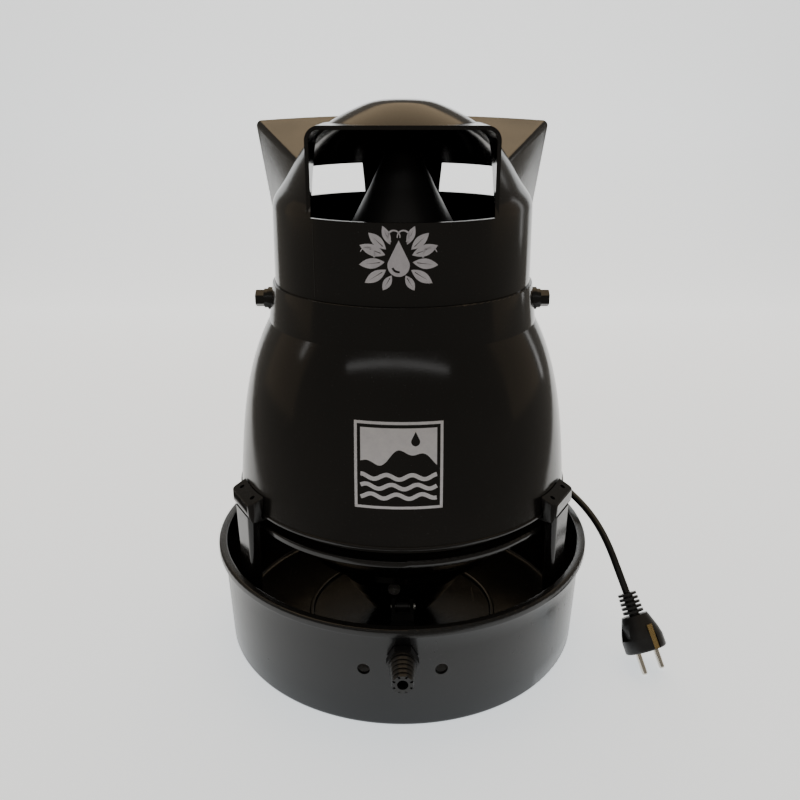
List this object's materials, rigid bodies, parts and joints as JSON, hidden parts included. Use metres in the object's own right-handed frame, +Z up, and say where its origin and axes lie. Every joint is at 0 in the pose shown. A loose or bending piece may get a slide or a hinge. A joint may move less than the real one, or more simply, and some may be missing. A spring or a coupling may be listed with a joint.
{
  "type": "centrifugal disc humidifier",
  "caption": "Black plastic spinning-disc humidifier: bell-shaped mist head with front and rear outlets on three legs in a round float-fed water tray, with mains lead.",
  "frame": {"origin": "centre of the water tray's underside, on the floor", "axes": "+Z up through the motor shaft; the hose inlet and the narrow mist outlet face -Y; +X to the right seen from the front"},
  "size_m": [0.4029, 0.3677, 0.4738],
  "materials": {
    "body_plastic": "glossy moulded black",
    "tray_plastic": "glossy moulded black",
    "fitting_plastic": "satin black nylon",
    "bolt_plastic": "satin black",
    "fan_plastic": "black",
    "white_plastic": "natural nylon",
    "float_foam": "white closed-cell foam",
    "black_rubber": "matt",
    "cord_rubber": "satin",
    "motor_paint": "satin black paint",
    "steel": "zinc plated",
    "pin_metal": "nickel plated",
    "bearing_brass": "turned",
    "lamination_steel": "stamped laminations",
    "copper_windings": "enamelled copper wire"
  },
  "bodies": {
    "tray": {"water_tray": "tray_plastic", "tray_floor": "tray_plastic", "inlet_fitting": "fitting_plastic", "inlet_seals": "black_rubber", "inlet_locknut": "fitting_plastic", "float_valve_body": "fitting_plastic", "float_pivot_pin": "steel"},
    "float_lever": {"float_arm": "fitting_plastic", "float_block": "float_foam"},
    "valve_slider": {"valve_plunger": "white_plastic", "plunger_seal": "black_rubber"},
    "power_unit": {"bell_shell": "body_plastic", "lower_housing": "body_plastic", "diffuser_comb": "body_plastic", "leg_left": "body_plastic", "leg_right": "body_plastic", "leg_rear": "body_plastic", "leg_screws": "steel", "hood": "body_plastic", "hood_dome": "body_plastic", "front_duct": "body_plastic", "rear_duct": "body_plastic", "hood_bolts": "bolt_plastic", "hood_washers": "bolt_plastic", "hood_nuts": "steel", "motor_housing": "motor_paint", "motor_end_cap": "motor_paint", "shaft_bearings": "bearing_brass", "stator_core": "lamination_steel", "stator_windings": "copper_windings", "motor_cone": "motor_paint", "motor_bracket": "motor_paint", "bracket_screws": "steel", "cord_gland": "black_rubber", "power_cord": "cord_rubber", "plug_body": "cord_rubber", "plug_earth_clips": "bearing_brass", "plug_pins": "pin_metal"},
    "rotor": {"motor_shaft": "steel", "armature": "lamination_steel", "fan_impeller": "fan_plastic", "atomizing_disc": "fan_plastic", "pickup_cone": "fan_plastic", "cone_screws": "steel", "rotor_nut": "steel"}
  },
  "joints": [
    {"name": "float_hinge", "type": "hinge", "parent": "tray", "child": "float_lever", "pos_m": [0, -0.115, 0.082], "axis": [-1, 0, 0], "range_deg": [0, 8]},
    {"name": "valve_slide", "type": "slide", "parent": "tray", "child": "valve_slider", "axis": [0, -1, 0], "range_m": [0, 0.0018]},
    {"name": "unit_lift", "type": "slide", "parent": "tray", "child": "power_unit", "axis": [0, 0, 1], "range_m": [0, 0.16]},
    {"name": "rotor_spin", "type": "hinge", "parent": "power_unit", "child": "rotor", "pos_m": [0, 0, 0.09], "axis": [0, 0, 1], "continuous": true}
  ],
  "couplings": [
    {"joint": "valve_slide", "follows": "float_hinge", "m_per_rad": 0.012}
  ]
}
